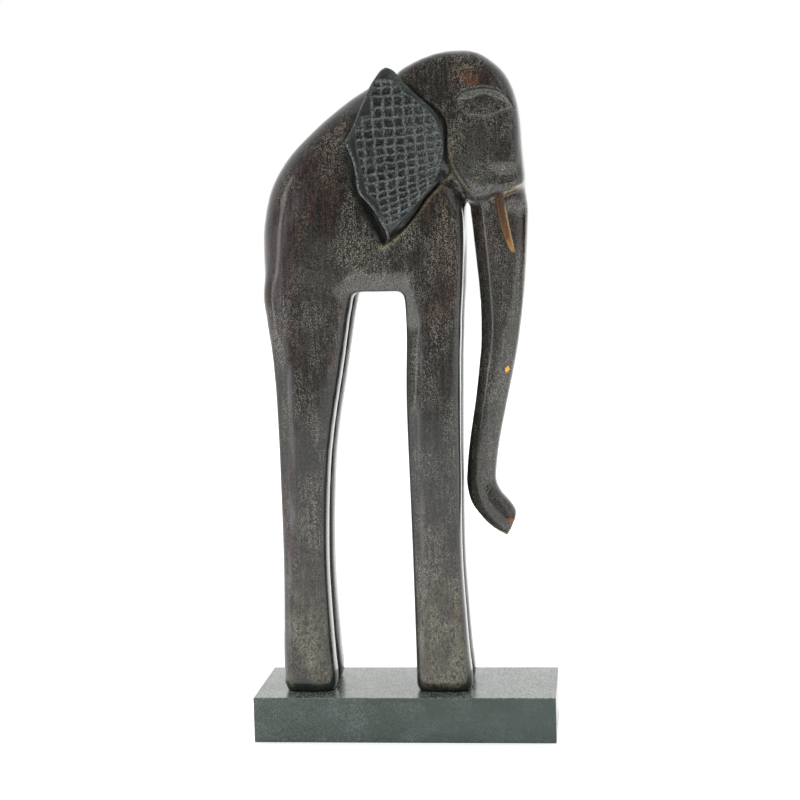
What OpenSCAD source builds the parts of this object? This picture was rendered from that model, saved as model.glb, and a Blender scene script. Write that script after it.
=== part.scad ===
// Carved wooden elephant standing on a painted plinth.
// Millimetres. Origin at the centre of the plinth's underside, +Z up, +X towards the trunk.
// The figure's own heights (the tables below) are counted from the top of the plinth.

/* [Plinth] */
// Length of the plinth, along the elephant
plinth_l = 165; // [158:1:200]
// Depth of the plinth, across the elephant
plinth_d = 67; // [60:1:100]
// Thickness of the plinth
plinth_h = 25; // [18:1:40]

/* [Figure] */
// Height of the elephant above the plinth
figure_h = 347; // [330:1:380]
// Distance from the middle plane to the centre of a leg
leg_y = 12.5; // [12:0.5:14]
// Half the width of a leg at the foot
leg_half = 9.8; // [8.5:0.1:10]
// Half the thickness of the carving at the haunch, its widest place
haunch_half = 23.5; // [22:0.5:25]

/* [Ears] */
// Distance from the middle plane to the flat seat of an ear
ear_seat_y = 20; // [19:0.5:20.5]
// Thickness of an ear
ear_t = 6; // [4:0.5:8]
// Side of one square chisel pit in an ear
pit_side = 3.4; // [2.5:0.1:4]
// Distance from one pit to the next
pit_pitch = 5.4; // [5.2:0.1:6]
// Depth of the pits
pit_deep = 1.5; // [0.5:0.1:2]
// Diameter of the dowel behind an ear
peg_d = 5; // [4:0.5:6]
// Length of the dowel
peg_l = 14; // [10:1:18]

/* [Tusks] */
// Greatest radius of a tusk
tusk_r = 2.9; // [2.4:0.1:3.2]
// Distance from the middle plane to a tusk
tusk_y = 15; // [14.5:0.1:15.5]

/* [Foot screws] */
// Diameter of the screw's thread
screw_d = 4; // [3:0.5:5]
// Length of the screw
screw_l = 45; // [35:1:55]
// Diameter of the countersunk head
screw_head_d = 8; // [6:0.5:9]

/* [Fits] */
// Gap all round a dowel, tusk root or screw in its hole
fit_gap = 0.2; // [0.15:0.05:0.4]

/* [Hidden] */

dark_wood = "#3a302c";
ear_wood = "#343832";
tusk_wood = "#b9823c";
paint = "#46524e";
peg_wood = "#c9a673";
zinc = "#a9adb0";

drawn_h = 347;            // height at which the tables are drawn
k = figure_h / drawn_h;   // scale of the tables' heights and lengths; thicknesses are set directly
sheet = 0.02;             // thickness of a section, which only has to exist
left = 1;                 // side signs
right = -1;

// Sections of a leg: [height, rear x, front x, half width]
hind_leg_sections = [
    [0, -65.3, -40.6, leg_half - 1.8], [3, -67.4, -38.8, leg_half], [25, -67.5, -39.8, leg_half],
    [70, -66.2, -41.5, leg_half - 0.4], [115, -66.2, -39.8, leg_half - 0.2],
    [145, -66.5, -36.5, leg_half + 0.2], [180, -67.8, -30.2, leg_half + 0.5],
    [205, -70.5, -26, leg_half + 0.8], [220, -72, -23.5, leg_half + 0.9],
    [240, -71.5, -26, leg_half + 0.4], [262, -66, -34, leg_half - 3],
];
front_leg_sections = [
    [0, 7.9, 35, leg_half - 1.8], [3, 6, 36.8, leg_half], [25, 5.8, 35, leg_half],
    [70, 5.4, 32.6, leg_half - 0.4], [115, 4.8, 32.8, leg_half - 0.2],
    [160, 4.2, 33.6, leg_half + 0.2], [200, 5.4, 35, leg_half + 0.6],
    [222, 4, 36.4, leg_half + 0.8], [245, 1, 37.4, leg_half + 0.6],
    [262, 7, 37, leg_half - 0.6], [275, 18, 33, leg_half - 3],
];

// Sections of the body: [height, rear x, front x, half width]
haunch_sections = [
    [219.5, -72.5, -14, haunch_half - 2], [224, -73.4, -8, haunch_half - 0.9],
    [235, -74, -4, haunch_half - 0.2], [250, -74, 0, haunch_half],
    [262, -72.4, 2, haunch_half - 0.8], [275, -69, 4, haunch_half - 2.8],
    [286, -63, 4, haunch_half - 5.3], [297, -54.2, 4, haunch_half - 8.4],
    [309, -41, 6, haunch_half - 12], [318, -30, 6, haunch_half - 15],
];
belly_sections = [
    [219.5, -62, 31, haunch_half - 3.5], [226, -64, 34, haunch_half - 1.8],
    [245, -66, 37, haunch_half - 1.5], [262, -64, 38, haunch_half - 2.5],
    [280, -58, 38, haunch_half - 4],
];
neck_sections = [
    [255, -40, 38, 19.5], [280, -40, 42, 20.5], [300, -38, 50, 20.5],
    [312, -34, 50, 18], [320, -26, 50, 14.5], [326, -18, 48, 11], [331, -9, 46, 8],
];

// Sections of the head, from the lip up to the crown
head_sections = [
    [264, 44, 70.8, 14], [268, 42, 71.4, 17.5], [275, 38.5, 71.2, 20.2], [284, 33, 70.6, 21],
    [297, 24, 69.6, 20.8], [310, 12, 68.6, 20], [320, 5, 67.2, 18.8], [329, 1, 64.2, 17.6],
    [336, 4, 60, 16.4], [341.5, 13.5, 54, 14.6], [345, 22, 48.5, 12], [drawn_h, 31, 42, 7.5],
];

// Sections of the trunk: [height, x of the middle, half depth, half width, tilt]
trunk_sections = [
    [280, 55, 14.5, 13, 0], [264, 56, 15.6, 12.4, 0], [256, 56.4, 15.2, 12.2, 0],
    [235, 56.7, 13.6, 11.8, 0], [213, 56.6, 11.8, 11.2, 0], [191, 55, 10.3, 10.6, 2],
    [175, 52.6, 9.5, 10.1, 5], [158, 49.6, 8.7, 9.6, 6], [136, 45.5, 8.2, 9, 5],
    [120, 43.5, 8.1, 8.6, 0], [113, 43.3, 8.2, 8.4, -4], [105, 45.6, 8.8, 8.2, -16],
    [99, 50, 8.8, 8, -32], [94, 54.6, 8.4, 7.7, -50], [89.4, 59.8, 7, 7.2, -67],
];

// Outline of an ear in the X-Z plane, from its top tip round the front edge
ear_outline = [
    [-0.2, 338.2], [3.4, 336], [8.4, 330.3], [14.2, 324.2], [21.5, 317.4], [26, 312], [28.5, 305.2],
    [29, 298.5], [28.4, 291.2], [26.7, 283.6], [22.7, 276.2], [16.5, 268.3], [12.2, 264], [5, 256],
    [-0.6, 250.8], [-2.6, 244.4], [-5.5, 255.6], [-9, 262.2], [-13.4, 267.7], [-17.6, 273.1],
    [-18.7, 281.4], [-20, 288.9], [-21.9, 294], [-24, 299.8], [-20.4, 305.4], [-15.6, 316],
    [-10.2, 327.4], [-6.4, 333.2], [-3.4, 336.7],
];
ear_tips = [0, 15, 23];    // points of the outline that stay sharp
peg_at = [2 * k, 292 * k]; // middle of the ear's dowel
peg_cover = 1;            // wood left between a dowel's end and the pits
peg_in_ear = min(3, ear_t - pit_deep - peg_cover);
// Pits of each row from the top: [first column, number of pits]
pit_rows = [
    [-1, 3], [-1, 3], [-1, 4], [-2, 6], [-3, 8], [-3, 8], [-3, 8], [-3, 8], [-2, 7], [-2, 7],
    [-2, 7], [-2, 6], [-1, 5], [-1, 4], [-1, 3],
];
pit_top = 328;              // height of the top row
row_pitch = 0.9 * pit_pitch;
row_drift = 0.17;           // how far each row's columns stand in front of the row above
row_climb = 0.01;           // how much steeper each row climbs to the front than the row above

// Middle line of a tusk: [x, height, share of the greatest radius]
tusk_line = [
    [55.6, 277, 0.75], [57, 268.6, 0.9], [58.4, 259.6, 1], [60.2, 250, 0.94],
    [62.2, 243.2, 0.72], [63.6, 240, 0.45],
];

head_inset = 0.6;    // how far the screws' heads lie above the plinth's underside
head_rim = 0.4;      // height of a head's straight rim
thread_pitch = 1.5;
thread_root = 0.72;  // share of the thread's diameter left at its root
shank_share = 0.8;   // share of the thread's diameter on the plain shank
plain_shank = 12;    // length of the plain shank
screw_point = 6;     // length of the screw's point
slot_w = 1;          // width and depth of the cross in a head
slot_deep = 2.2;
slot_share = 0.6;    // share of the head's diameter
sink_rim = 1;        // straight part of a countersink
through = 1;         // how far a cut runs past the face it opens

hind_foot = [-53 * k, leg_y];
front_foot = [21 * k, leg_y];

// A row between the rows of a table, on a smooth curve through them; u counts rows from 0
function between(t, u) =
    let (
        i = min(floor(u), len(t) - 2),
        f = u - i,
        a = t[max(i - 1, 0)],
        b = t[i],
        c = t[i + 1],
        d = t[min(i + 2, len(t) - 1)]
    )
    b + f * (c - a) / 2 + f * f * (a - 2.5 * b + 2 * c - 0.5 * d)
        + f * f * f * (-0.5 * a + 1.5 * b - 1.5 * c + 0.5 * d);

// Rounded rectangle with half sides a and b; power 2 is an ellipse, more is squarer
function signed_power(v, p) = sign(v) * pow(abs(v), p);
function ring(a, b, power, count) = [
    for (i = [0:count - 1])
        let (t = 360 * (i + 0.5) / count)
        [a * signed_power(cos(t), 2 / power), b * signed_power(sin(t), 2 / power)]
];

// A closed curve through the outline's points, with its tips kept sharp
function wrapped(p, i) = p[(i + len(p)) % len(p)];
function is_tip(i, n, tips) = len([for (t = tips) if (t == (i + n) % n) t]) > 0;
function closed_curve(p, tips, steps) = [
    for (i = [0:len(p) - 1], s = [0:steps - 1])
        let (
            f = s / steps,
            b = p[i],
            c = wrapped(p, i + 1),
            a = is_tip(i, len(p), tips) ? b : wrapped(p, i - 1),
            d = is_tip(i + 1, len(p), tips) ? c : wrapped(p, i + 2)
        )
        b + f * (c - a) / 2 + f * f * (a - 2.5 * b + 2 * c - 0.5 * d)
            + f * f * f * (-0.5 * a + 1.5 * b - 1.5 * c + 0.5 * d)
];

module section(row, y, power) {
    translate([k * (row[1] + row[2]) / 2, y, k * row[0]])
        linear_extrude(sheet)
            polygon(ring(k * (row[2] - row[1]) / 2, row[3], power, 20));
}

// A solid through level sections, each pair of neighbours hulled
module level_loft(t, y, power, steps) {
    last = (len(t) - 1) * steps;
    for (i = [0:last - 1])
        hull() {
            section(between(t, i / steps), y, power);
            section(between(t, (i + 1) / steps), y, power);
        }
}

module trunk_section(row) {
    translate([k * row[1], 0, k * row[0]])
        rotate([0, row[4], 0])
            linear_extrude(sheet)
                polygon(ring(k * row[2], row[3], 2.7, 20));
}

module trunk_loft() {
    last = (len(trunk_sections) - 1) * 2;
    for (i = [0:last - 1])
        hull() {
            trunk_section(between(trunk_sections, i / 2));
            trunk_section(between(trunk_sections, (i + 1) / 2));
        }
}

module block_carving() {
    for (side = [left, right]) {
        level_loft(hind_leg_sections, side * leg_y, 3.2, 2);
        level_loft(front_leg_sections, side * leg_y, 3.2, 2);
    }
    level_loft(haunch_sections, 0, 3.4, 2);
    level_loft(belly_sections, 0, 4.5, 2);
    level_loft(neck_sections, 0, 3.2, 2);
    level_loft(head_sections, 0, 3.6, 2);
    trunk_loft();
}

// Turns a shape drawn in X-Z, with its thickness upwards, to face sideways
module facing(side) {
    if (side == right)
        rotate([90, 0, 0]) children();
    else
        mirror([0, 1, 0]) rotate([90, 0, 0]) children();
}

module ear_leaf() {
    polygon(closed_curve(k * ear_outline, ear_tips, 4));
}

module ear_pits() {
    for (r = [0:len(pit_rows) - 1], c = [0:pit_rows[r][1] - 1])
        let (x = pit_pitch * (pit_rows[r][0] + c) + row_drift * r)
            translate([x, k * pit_top - row_pitch * r + row_climb * r * x])
                square(pit_side, center = true);
}

module ear(side) {
    color(ear_wood)
        translate([0, 0, plinth_h])
            facing(side)
                translate([0, 0, ear_seat_y])
                    difference() {
                        linear_extrude(ear_t)
                            ear_leaf();
                        translate([0, 0, ear_t - pit_deep])
                            linear_extrude(pit_deep + through)
                                ear_pits();
                        translate([peg_at[0], peg_at[1], -through])
                            cylinder(d = peg_d + 2 * fit_gap, h = through + peg_in_ear + fit_gap, $fn = 48);
                    }
}

module ear_peg(side) {
    color(peg_wood)
        translate([0, 0, plinth_h])
            facing(side)
                translate([peg_at[0], peg_at[1], ear_seat_y + peg_in_ear - peg_l])
                    cylinder(d = peg_d, h = peg_l, $fn = 48);
}

module tusk_beads(row_a, row_b, grow) {
    hull()
        for (row = [row_a, row_b])
            translate([k * row[0], k * row[1], 0])
                sphere(r = tusk_r * row[2] + grow, $fn = 16);
}

module tusk_solid(grow) {
    for (i = [0:len(tusk_line) - 2])
        tusk_beads(tusk_line[i], tusk_line[i + 1], grow);
}

module tusk(side) {
    color(tusk_wood)
        translate([0, 0, plinth_h])
            facing(side)
                translate([0, 0, tusk_y])
                    tusk_solid(0);
}

module screw_place(foot, side) {
    translate([foot[0], side * foot[1], 0]) children();
}

// Countersunk screw, head down, on the Z axis
module screw_solid() {
    head_h = (screw_head_d - screw_d) / 2;
    root_r = thread_root * screw_d / 2;
    shoulder = head_inset + head_rim + head_h;
    thread = [
        for (z = [shoulder + plain_shank:thread_pitch:screw_l - screw_point])
            each [[root_r, z], [screw_d / 2, z + thread_pitch / 2]]
    ];
    difference() {
        rotate_extrude($fn = 48)
            polygon(concat(
                [[0, head_inset], [screw_head_d / 2, head_inset]],
                [[screw_head_d / 2, head_inset + head_rim]],
                [[shank_share * screw_d / 2, shoulder]],
                thread,
                [[root_r, screw_l - screw_point + thread_pitch], [0, screw_l]]
            ));
        for (turn = [0, 90])
            rotate(turn)
                translate([-slot_share * screw_head_d / 2, -slot_w / 2, 0])
                    cube([slot_share * screw_head_d, slot_w, slot_deep]);
    }
}

module foot_screw(foot, side) {
    color(zinc) screw_place(foot, side) screw_solid();
}

module carved_body() {
    color(dark_wood)
        difference() {
            translate([0, 0, plinth_h])
                difference() {
                    block_carving();
                    for (side = [left, right])
                        facing(side) {
                            translate([0, 0, ear_seat_y])
                                linear_extrude(ear_t)
                                    offset(delta = fit_gap) ear_leaf();
                            translate([peg_at[0], peg_at[1], ear_seat_y + peg_in_ear - peg_l - fit_gap])
                                cylinder(d = peg_d + 2 * fit_gap, h = peg_l, $fn = 32);
                            translate([0, 0, tusk_y])
                                tusk_solid(fit_gap);
                        }
                }
            for (foot = [hind_foot, front_foot], side = [left, right])
                screw_place(foot, side)
                    cylinder(d = screw_d + 2 * fit_gap, h = screw_l + fit_gap, $fn = 32);
        }
}

module plinth() {
    color(paint)
        difference() {
            translate([-plinth_l / 2, -plinth_d / 2, 0])
                cube([plinth_l, plinth_d, plinth_h]);
            for (foot = [hind_foot, front_foot], side = [left, right])
                screw_place(foot, side) {
                    translate([0, 0, -through])
                        cylinder(d = screw_d + 2 * fit_gap, h = plinth_h + 2 * through, $fn = 48);
                    translate([0, 0, -through])
                        cylinder(d = screw_head_d + 2 * fit_gap, h = through + sink_rim, $fn = 48);
                    translate([0, 0, sink_rim])
                        cylinder(
                            d1 = screw_head_d + 2 * fit_gap,
                            d2 = screw_d + 2 * fit_gap,
                            h = (screw_head_d - screw_d) / 2,
                            $fn = 48
                        );
                }
        }
}

carved_body();
ear(left);  // ear_left
ear(right);  // ear_right
ear_peg(left);  // ear_peg_left
ear_peg(right);  // ear_peg_right
tusk(left);  // tusk_left
tusk(right);  // tusk_right
plinth();
foot_screw(front_foot, left);  // foot_screw_front_left
foot_screw(front_foot, right);  // foot_screw_front_right
foot_screw(hind_foot, left);  // foot_screw_hind_left
foot_screw(hind_foot, right);  // foot_screw_hind_right
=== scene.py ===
# Carved wooden elephant on a painted plinth.
# Tables are in millimetres in the part's own frame: +X towards the trunk, +Z up, origin under the plinth.
import math

import bmesh
import bpy
import numpy as np
from mathutils import Matrix, Vector


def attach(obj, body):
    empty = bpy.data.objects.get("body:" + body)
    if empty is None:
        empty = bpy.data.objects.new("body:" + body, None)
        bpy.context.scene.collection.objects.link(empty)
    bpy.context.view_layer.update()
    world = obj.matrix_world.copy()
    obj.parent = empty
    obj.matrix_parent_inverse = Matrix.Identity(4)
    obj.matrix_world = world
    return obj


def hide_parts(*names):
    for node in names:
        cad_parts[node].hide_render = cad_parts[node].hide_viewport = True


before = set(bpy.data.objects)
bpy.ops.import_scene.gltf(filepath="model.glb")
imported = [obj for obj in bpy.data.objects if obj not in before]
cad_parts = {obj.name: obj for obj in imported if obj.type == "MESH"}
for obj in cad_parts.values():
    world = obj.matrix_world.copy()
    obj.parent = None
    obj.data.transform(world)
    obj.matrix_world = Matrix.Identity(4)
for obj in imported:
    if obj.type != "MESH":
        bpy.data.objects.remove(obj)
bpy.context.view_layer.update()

mm = 0.001
print("frame loaded:", len(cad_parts), "nodes")


# Catmull-Rom: from b to c at share f of the way, with a before b and d after c, as a cubic in f.
def between(a, b, c, d, f):
    bend = a - 2.5 * b + 2 * c - 0.5 * d
    return b + f * (c - a) / 2 + f**2 * bend + f**3 * (1.5 * (b - c) + 0.5 * (d - a))


# Rows between the rows of a table: each column runs smoothly through its own values.
def throughRows(rows, steps):
    rows = np.asarray(rows, float)
    last = len(rows) - 1
    u = np.linspace(0, last, last * steps + 1)
    i = np.clip(np.floor(u).astype(int), 0, last - 1)
    f = (u - i)[:, None]
    a, b, c, d = (rows[np.clip(i + k, 0, last)] for k in (-1, 0, 1, 2))
    return between(a, b, c, d, f)


# A superellipse of half sides 1: cosine and sine, each raised to 2/power with its sign kept.
def roundedRing(power, count):
    t = 2 * np.pi * (np.arange(count) + 0.5) / count
    c, s = np.cos(t), np.sin(t)
    return np.sign(c) * np.abs(c) ** (2 / power), np.sign(s) * np.abs(s) ** (2 / power)


# Quads of a tube of rings, and triangles from each end ring to a pole vertex that follows the grid.
def gridFaces(rowCount, ringCount):
    r, c = np.meshgrid(np.arange(rowCount - 1), np.arange(ringCount), indexing="ij")
    nextC = (c + 1) % ringCount
    quads = np.stack([r * ringCount + c, r * ringCount + nextC,
                      (r + 1) * ringCount + nextC, (r + 1) * ringCount + c], -1).reshape(-1, 4)
    ring = np.arange(ringCount)
    after = (ring + 1) % ringCount
    low = rowCount * ringCount
    top = (rowCount - 1) * ringCount
    bottom = np.stack([after, ring, np.full(ringCount, low)], -1)
    upper = np.stack([top + ring, top + after, np.full(ringCount, low + 1)], -1)
    return quads, np.concatenate([bottom, upper])


# A new object in the scene holding the given data.
def placed(name, data):
    thing = bpy.data.objects.new(name, data)
    bpy.context.scene.collection.objects.link(thing)
    return thing


# A closed tube from an array of rings, with a pole at the middle of each end ring.
def tubeObject(name, rings):
    rowCount, ringCount = rings.shape[:2]
    points = np.concatenate([rings.reshape(-1, 3), rings[0].mean(0)[None], rings[-1].mean(0)[None]])
    quads, triangles = gridFaces(rowCount, ringCount)
    mesh = bpy.data.meshes.new(name)
    mesh.from_pydata((points * mm).tolist(), [], quads.tolist() + triangles.tolist())
    mesh.update()
    bm = bmesh.new()
    bm.from_mesh(mesh)
    bmesh.ops.recalc_face_normals(bm, faces=bm.faces)
    bm.to_mesh(mesh)
    bm.free()
    return placed(name, mesh)


# One object holding every piece's mesh.
def joined(name, pieces):
    bm = bmesh.new()
    for piece in pieces:
        bm.from_mesh(piece.data)
        bpy.data.objects.remove(piece)
    mesh = bpy.data.meshes.new(name)
    bm.to_mesh(mesh)
    bm.free()
    return placed(name, mesh)


# The piece's mesh as its modifiers leave it.
def applyModifiers(piece):
    graph = bpy.context.evaluated_depsgraph_get()
    mesh = bpy.data.meshes.new_from_object(piece.evaluated_get(graph))
    piece.modifiers.clear()
    piece.data = mesh
    return piece


# Vertex places in millimetres; writePoints puts them back.
def readPoints(mesh):
    flat = np.empty(len(mesh.vertices) * 3, np.float32)
    mesh.vertices.foreach_get("co", flat)
    return flat.reshape(-1, 3).astype(float) / mm


def writePoints(mesh, points):
    mesh.vertices.foreach_set("co", (points * mm).astype(np.float32).ravel())
    mesh.update()


def readNormals(mesh):
    flat = np.empty(len(mesh.vertices) * 3, np.float32)
    mesh.vertex_normals.foreach_get("vector", flat)
    return flat.reshape(-1, 3).astype(float)


# Smooths by moving each vertex towards its neighbours' mean, then a little back, so that size is kept.
def evenOut(mesh, rounds, share=None):
    points = readPoints(mesh)
    ends = np.empty(len(mesh.edges) * 2, np.int64)
    mesh.edges.foreach_get("vertices", ends)
    a, b = ends.reshape(-1, 2).T
    degree = np.bincount(ends, minlength=len(points))[:, None]
    weight = 1 if share is None else share[:, None]
    count = len(points)
    smoothIn, pushBack = 0.5, -0.52
    for _ in range(rounds):
        for pull in (smoothIn, pushBack):
            total = np.stack([np.bincount(a, points[b, k], count) + np.bincount(b, points[a, k], count)
                              for k in range(3)], -1)
            points += weight * pull * (total / degree - points)
    writePoints(mesh, points)


# 0 below low, 1 above high, and a smooth step between.
def ramp(value, low, high):
    t = np.clip((value - low) / (high - low), 0, 1)
    return t * t * (3 - 2 * t)


# Distance in X-Z from each point to a polyline, and the side it lies on: positive to the right of its way.
def lineDistance(x, z, line, closed=False):
    line = np.asarray(line, float)
    if closed:
        line = np.concatenate([line, line[:1]])
    best = np.full(x.shape, 1e9)
    side = np.zeros(x.shape)
    for (ax, az), (bx, bz) in zip(line[:-1], line[1:]):
        dx, dz = bx - ax, bz - az
        t = np.clip(((x - ax) * dx + (z - az) * dz) / (dx * dx + dz * dz), 0, 1)
        gap = np.hypot(x - ax - t * dx, z - az - t * dz)
        near = gap < best
        best = np.where(near, gap, best)
        side = np.where(near, np.sign((x - ax) * dz - (z - az) * dx), side)
    return best, side


# True where a point is inside a closed outline, by counting crossings to its right.
def insideOutline(x, z, outline):
    inside = np.zeros(x.shape, bool)
    ring = np.asarray(outline, float)
    for (ax, az), (bx, bz) in zip(ring, np.roll(ring, -1, 0)):
        if az == bz:
            continue
        crosses = ((az > z) != (bz > z)) & (x < (bx - ax) * (z - az) / (bz - az) + ax)
        inside ^= crosses
    return inside


# Distance to a closed outline, negative inside it.
def signedGap(x, z, outline):
    gap, _ = lineDistance(x, z, outline, True)
    return np.where(insideOutline(x, z, outline), -gap, gap)


# A smooth closed curve through points, with the numbered tips kept sharp.
def closedCurve(points, tips, steps):
    p = np.asarray(points, float)
    n = len(p)
    f = (np.arange(steps) / steps)[:, None]
    parts = []
    for i in range(n):
        b, c = p[i], p[(i + 1) % n]
        a = b if i in tips else p[i - 1]
        d = c if (i + 1) % n in tips else p[(i + 2) % n]
        parts.append(between(a, b, c, d, f))
    return np.concatenate(parts)


def setAttribute(mesh, name, values):
    layer = mesh.attributes.new(name, "FLOAT", "POINT")
    layer.data.foreach_set("value", np.clip(values, 0, 1).astype(np.float32))


# Level sections: height, rear x, front x, half width.
# The head's fifth value is a slope: how much a section rises per millimetre of x, from slopeFrom on.
# A power squares its sections off: 2 is an oval, and more is closer to a box.
bodyCarving = {
    "hindLeg": [
        (24.4, -64.5, -41.5, 7.4), (25.6, -66.2, -39.8, 8.8), (28.5, -67.3, -38.8, 9.7),
        (34, -67.6, -38.6, 9.8), (50, -67.5, -39.8, 9.8), (95, -66.2, -41.5, 9.4),
        (140, -66.2, -39.8, 9.6), (170, -66.5, -36.5, 10), (205, -67.8, -30.2, 10.3),
        (230, -70.9, -26, 10.6), (245, -72.1, -23.5, 10.4), (265, -68.6, -26, 8), (287, -58, -34, 5),
    ],
    "frontLeg": [
        (24.4, 8.6, 34.2, 7.4), (25.6, 6.9, 35.9, 8.8), (28.5, 6, 36.7, 9.7), (34, 5.9, 36.5, 9.8),
        (50, 5.8, 35, 9.8), (95, 5.4, 32.6, 9.4), (140, 4.8, 32.8, 9.6), (185, 4.2, 33.6, 10),
        (225, 5.4, 35, 10.4), (247, 4, 36.4, 10.6), (270, 0, 37.4, 10.5), (288, 6, 37, 9.6),
        (300, 16, 34, 8),
    ],
    "haunch": [
        (244.6, -71.6, -14, 22.6), (249, -71.8, -8, 22.9), (260, -72.3, -4, 23.3), (275, -72.4, 0, 23.5),
        (287, -71, 2, 22.8), (300, -67.8, 4, 21.4), (311, -62.2, 4, 19.6), (322, -53.8, 4, 17.2),
        (334, -41, 6, 14.5), (342, -31, 6, 12.4), (349, -20.5, 6, 9.5),
    ],
    "haunchPower": ([246, 270, 300], [4.6, 3.6, 3.6]),
    "hindLegPower": ([205, 245], [4.2, 3.2]),
    "frontLegPower": 4.2,
    "bellyPower": 4.5,
    "neckPower": 4,
    "headPower": 4.6,
    "trunkPower": 2.7,
    "slopeFrom": 55,
    "belly": [
        (244.6, -62, 31, 20), (251, -64, 34, 21.7), (270, -66, 37, 22), (287, -64, 38, 21),
        (302, -58, 38, 19.5),
    ],
    "neck": [
        (280, -40, 36.4, 18.6), (305, -40, 40.6, 18.8), (325, -40, 50, 18.4), (337, -36, 50, 16.6),
        (345, -27, 50, 14), (351, -18, 48, 11.5), (356, -9, 46, 9),
    ],
    "head": [
        (293.5, 43, 70, 14, 0.34), (295.5, 41.5, 70.7, 18, 0.33), (299, 38, 70.9, 20.3, 0.3),
        (306, 32.5, 70.4, 21, 0.24), (318, 24, 69.5, 21, 0.14), (330, 14, 68.9, 20.4, 0.05),
        (340, 7, 67.9, 19.4, 0), (348, 2.5, 66.1, 19.1, 0), (355, 1, 63.4, 18.8, 0),
        (361, 3.2, 59.5, 18.6, 0), (366, 11.5, 54, 18, 0), (369.6, 21, 48.5, 16.6, 0),
        (371.6, 30, 42.5, 13, 0),
    ],
    # middle x, middle z, half depth, half width, tilt in degrees
    "trunk": [
        (55, 305, 14.5, 12.6, 0), (56, 289, 15.6, 12.2, 0), (56.4, 281, 15.2, 12, 0),
        (56.7, 260, 13.6, 11.6, 0), (56.6, 238, 11.8, 11.1, 0), (55, 216, 10.3, 10.6, 2),
        (52.6, 200, 9.5, 10.1, 5), (49.6, 183, 8.7, 9.6, 6), (45.5, 161, 8.2, 9, 5),
        (43.5, 145, 8.1, 8.6, 0), (43.3, 138, 8.2, 8.4, -4), (45.6, 130, 8.8, 8.2, -16),
        (50, 124, 8.8, 8, -32), (54.6, 119, 8.4, 7.7, -50), (59.8, 114.4, 7, 7.2, -67),
    ],
    "legMiddle": 12.5,
    "voxel": 2.1,
    "smoothRounds": 5,
    # the haunch is smoothed further, from its rear edge up to where the back turns over
    "haunchRounds": 50,
    "haunchFrom": {"behind": (20, 34), "above": (222, 234), "below": (-300, -262)},
    "slit": {
        "middle": [(216, 39.8), (238, 40.4), (260, 40.1), (281, 39.4), (292, 39.4)],
        "wide": 2.4, "reach": 10.0, "start": (205, 225), "fade": (294, 301),
    },
}


# Level sections carried up: x and y follow a superellipse of each row's half sides, z its height and slope.
# The power is a number, or a pair of lists: heights and the powers there.
def levelLoft(name, rows, power, middleY=0, slopeFrom=0, steps=6, ringCount=64):
    rows = throughRows(rows, steps)
    if isinstance(power, tuple):
        power = np.interp(rows[:, 0], *power)[:, None]
    c, s = roundedRing(power, ringCount)
    x = (rows[:, 1] + rows[:, 2])[:, None] / 2 + (rows[:, 2] - rows[:, 1])[:, None] / 2 * c
    y = middleY + rows[:, 3][:, None] * s
    slope = rows[:, 4][:, None] if rows.shape[1] > 4 else 0
    z = rows[:, 0][:, None] + slope * (x - slopeFrom)
    return tubeObject(name, np.stack([x, y, z], -1))


# Sections carried down the trunk: each is a rounded diamond turned by its tilt about Y.
def trunkLoft(name, rows, power, steps=8, ringCount=56):
    rows = throughRows(rows, steps)
    c, s = roundedRing(power, ringCount)
    arris = 1 + 0.05 * np.exp(-((c - 0.1) / 0.25) ** 2) * (np.abs(s) > 0.5)
    tilt = np.radians(rows[:, 4])[:, None]
    x = rows[:, 0][:, None] + rows[:, 2][:, None] * c * np.cos(tilt)
    z = rows[:, 1][:, None] - rows[:, 2][:, None] * c * np.sin(tilt)
    y = rows[:, 3][:, None] * s * arris
    return tubeObject(name, np.stack([x, y, z], -1))


# Opens the narrow slit between foreleg and trunk by `wide` each side of its middle line, fading out
# at `reach`, so that the voxels see it; the other way, it closes the slit again.
def moveSlit(mesh, p, way):
    points = readPoints(mesh)
    middle = np.interp(points[:, 2], *np.array(p["middle"]).T)
    wide = p["wide"] * (1 - ramp(points[:, 2], *p["fade"])) * ramp(points[:, 2], *p["start"])
    u = points[:, 0] - middle
    gap = np.abs(u)
    if way > 0:
        moved = wide + gap * (p["reach"] - wide) / p["reach"]
    else:
        moved = np.maximum(gap - wide, 0) * p["reach"] / (p["reach"] - wide)
    points[:, 0] = np.where(gap < p["reach"], middle + np.where(u < 0, -moved, moved), points[:, 0])
    writePoints(mesh, points)


# The rough body: every loft, fused on a voxel grid and smoothed.
def makeBlank(p):
    lofts = []
    for side in (-1, 1):
        lofts.append(levelLoft("hindLeg", p["hindLeg"], p["hindLegPower"], side * p["legMiddle"]))
        lofts.append(levelLoft("frontLeg", p["frontLeg"], p["frontLegPower"], side * p["legMiddle"]))
    for part in ("haunch", "belly", "neck"):
        lofts.append(levelLoft(part, p[part], p[part + "Power"]))
    lofts.append(levelLoft("head", p["head"], p["headPower"], slopeFrom=p["slopeFrom"]))
    lofts.append(trunkLoft("trunk", p["trunk"], p["trunkPower"]))
    blank = joined("carved_body_skin", lofts)
    moveSlit(blank.data, p["slit"], 1)
    fuse = blank.modifiers.new("fuse", "REMESH")
    fuse.mode = "VOXEL"
    fuse.voxel_size = p["voxel"] * mm
    applyModifiers(blank)
    evenOut(blank.data, p["smoothRounds"])
    x, _, z = readPoints(blank.data).T
    where = p["haunchFrom"]
    onHaunch = ramp(-x, *where["behind"]) * ramp(z, *where["above"]) * ramp(-z, *where["below"])
    evenOut(blank.data, p["haunchRounds"], onHaunch)
    moveSlit(blank.data, p["slit"], -1)
    return blank


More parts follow.
